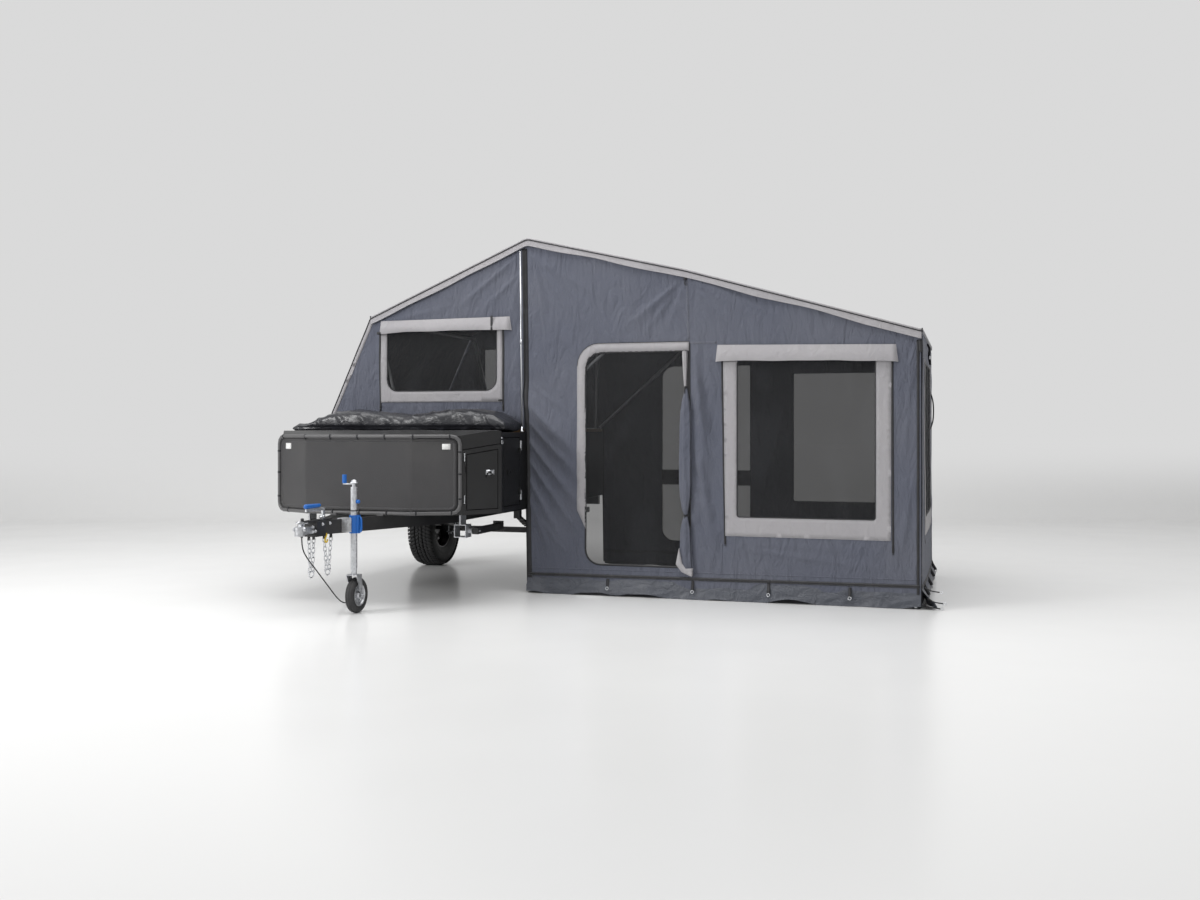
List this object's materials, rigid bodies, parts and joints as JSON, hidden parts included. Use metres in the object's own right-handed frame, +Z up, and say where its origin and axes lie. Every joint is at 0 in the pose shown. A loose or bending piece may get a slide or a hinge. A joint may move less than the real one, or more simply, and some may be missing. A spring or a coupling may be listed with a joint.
{
  "type": "off-road camper trailer with side-opening tent",
  "caption": "Off-road box camper trailer with a black steel body, stone guard, drawbar and jockey wheel, its grey canvas tent pitched to one side.",
  "frame": {"origin": "on the ground, under the middle of the whole pitched object's box", "axes": "+X to the trailer's left side, where the tent stands; +Y to the tail; +Z up"},
  "size_m": [5.0646, 4.09, 2.89],
  "materials": {
    "canvas": "woven",
    "canvas_trim": "woven",
    "roof_canvas": "woven, coated",
    "insect_mesh": "fine black net",
    "floor_vinyl": "embossed vinyl",
    "cover_vinyl": "wrinkled vinyl",
    "body_coat": "textured powder coat",
    "chassis_black": "satin",
    "guard_cloth": "woven mesh cloth",
    "galvanised": "zinc dipped",
    "rim_paint": "gloss",
    "tyre_rubber": "matt",
    "wheel_rubber": "matt",
    "blue_grip": "gloss",
    "lamp_lens": "gloss",
    "board": "plywood",
    "mattress_cloth": "woven",
    "pole_steel": "drawn tube",
    "lead_rubber": "satin"
  },
  "bodies": {
    "trailer": {"axle_beam": "chassis_black", "bed_base": "board", "chassis_frame": "chassis_black", "coupling_body": "chassis_black", "coupling_head": "galvanised", "crank_knob": "blue_grip", "door_flap": "canvas", "eave_bow": "pole_steel", "end_wall": "canvas", "gable_front": "canvas", "gable_rear": "canvas", "guard_frame": "chassis_black", "guard_sheet": "guard_cloth", "handbrake_grip": "blue_grip", "handbrake_lever": "galvanised", "jockey_bracket": "galvanised", "jockey_clamp": "blue_grip", "jockey_tube": "galvanised", "knee_bow": "pole_steel", "lead_gland": "lead_rubber", "leaf_springs": "chassis_black", "leg_brackets": "galvanised", "mattress": "mattress_cloth", "mid_bow": "pole_steel", "nose_box": "body_coat", "ridge_bow": "pole_steel", "safety_chains": "galvanised", "screen_end": "insect_mesh", "screens_front": "insect_mesh", "screens_rear": "insect_mesh", "slope_wall": "canvas", "tail_bar": "chassis_black", "tail_lamps": "lamp_lens", "tent_floor": "floor_vinyl", "tent_roof": "roof_canvas", "tent_skirt": "floor_vinyl", "tow_lead": "lead_rubber", "tow_plug": "lead_rubber", "travel_cover": "cover_vinyl", "tray_body": "body_coat", "window_awnings": "canvas"},
    "wheel_left": {"tyre_left": "tyre_rubber", "rim_left": "rim_paint"},
    "wheel_right": {"tyre_right": "tyre_rubber", "rim_right": "rim_paint"},
    "jockey_leg": {"jockey_leg": "galvanised"},
    "jockey_fork": {"jockey_fork": "galvanised"},
    "jockey_wheel": {"jockey_tyre": "wheel_rubber", "jockey_rim": "galvanised"},
    "nose_door_left": {"nose_door_left": "body_coat"},
    "nose_door_right": {"nose_door_right": "body_coat"},
    "nose_lid": {"nose_lid": "body_coat"},
    "side_hatch_left": {"side_hatch_left": "body_coat"},
    "side_hatch_right": {"side_hatch_right": "body_coat"},
    "tailgate": {"tailgate": "body_coat"},
    "leg_front_left": {"leg_front_left": "chassis_black"},
    "leg_front_right": {"leg_front_right": "chassis_black"},
    "leg_rear_left": {"leg_rear_left": "chassis_black"},
    "leg_rear_right": {"leg_rear_right": "chassis_black"}
  },
  "joints": [
    {"name": "wheel_left_spin", "type": "hinge", "parent": "trailer", "child": "wheel_left", "pos_m": [-0.945, 1.483, 0.365], "axis": [1, 0, 0], "continuous": true},
    {"name": "wheel_right_spin", "type": "hinge", "parent": "trailer", "child": "wheel_right", "pos_m": [-2.185, 1.483, 0.365], "axis": [1, 0, 0], "continuous": true},
    {"name": "jockey_height", "type": "slide", "parent": "trailer", "child": "jockey_leg", "axis": [0, 0, 1], "range_m": [-0.2, 0.03]},
    {"name": "jockey_caster", "type": "hinge", "parent": "jockey_leg", "child": "jockey_fork", "pos_m": [-1.405, -1.542, 0.2], "axis": [0, 0, 1], "continuous": true},
    {"name": "jockey_wheel_spin", "type": "hinge", "parent": "jockey_fork", "child": "jockey_wheel", "pos_m": [-1.405, -1.504, 0.1285], "axis": [1, 0, 0], "continuous": true},
    {"name": "nose_door_left_hinge", "type": "hinge", "parent": "trailer", "child": "nose_door_left", "pos_m": [-0.77343, -0.9628, 0.9], "axis": [0, 0, -1], "range_deg": [0, 100]},
    {"name": "nose_door_right_hinge", "type": "hinge", "parent": "trailer", "child": "nose_door_right", "pos_m": [-2.35657, -0.9628, 0.9], "axis": [0, 0, 1], "range_deg": [0, 100]},
    {"name": "nose_lid_hinge", "type": "hinge", "parent": "trailer", "child": "nose_lid", "pos_m": [-1.565, -0.67, 1.3113], "axis": [-1, 0, 0], "range_deg": [0, 85]},
    {"name": "side_hatch_left_hinge", "type": "hinge", "parent": "trailer", "child": "side_hatch_left", "pos_m": [-0.6037, -0.287, 0.995], "axis": [0, 0, 1], "range_deg": [0, 80]},
    {"name": "side_hatch_right_hinge", "type": "hinge", "parent": "trailer", "child": "side_hatch_right", "pos_m": [-2.5263, -0.287, 0.995], "axis": [0, 0, -1], "range_deg": [0, 80]},
    {"name": "tailgate_hinge", "type": "hinge", "parent": "trailer", "child": "tailgate", "pos_m": [-1.565, 2.0193, 0.73], "axis": [-1, 0, 0], "range_deg": [0, 90]},
    {"name": "leg_front_left_swing", "type": "hinge", "parent": "trailer", "child": "leg_front_left", "pos_m": [-0.8, -0.717, 0.5447], "axis": [-1, 0, 0], "range_deg": [0, 90]},
    {"name": "leg_front_right_swing", "type": "hinge", "parent": "trailer", "child": "leg_front_right", "pos_m": [-2.33, -0.717, 0.5447], "axis": [-1, 0, 0], "range_deg": [0, 90]},
    {"name": "leg_rear_left_swing", "type": "hinge", "parent": "trailer", "child": "leg_rear_left", "pos_m": [-0.745, 1.873, 0.5447], "axis": [1, 0, 0], "range_deg": [0, 90]},
    {"name": "leg_rear_right_swing", "type": "hinge", "parent": "trailer", "child": "leg_rear_right", "pos_m": [-2.385, 1.873, 0.5447], "axis": [1, 0, 0], "range_deg": [0, 90]}
  ]
}
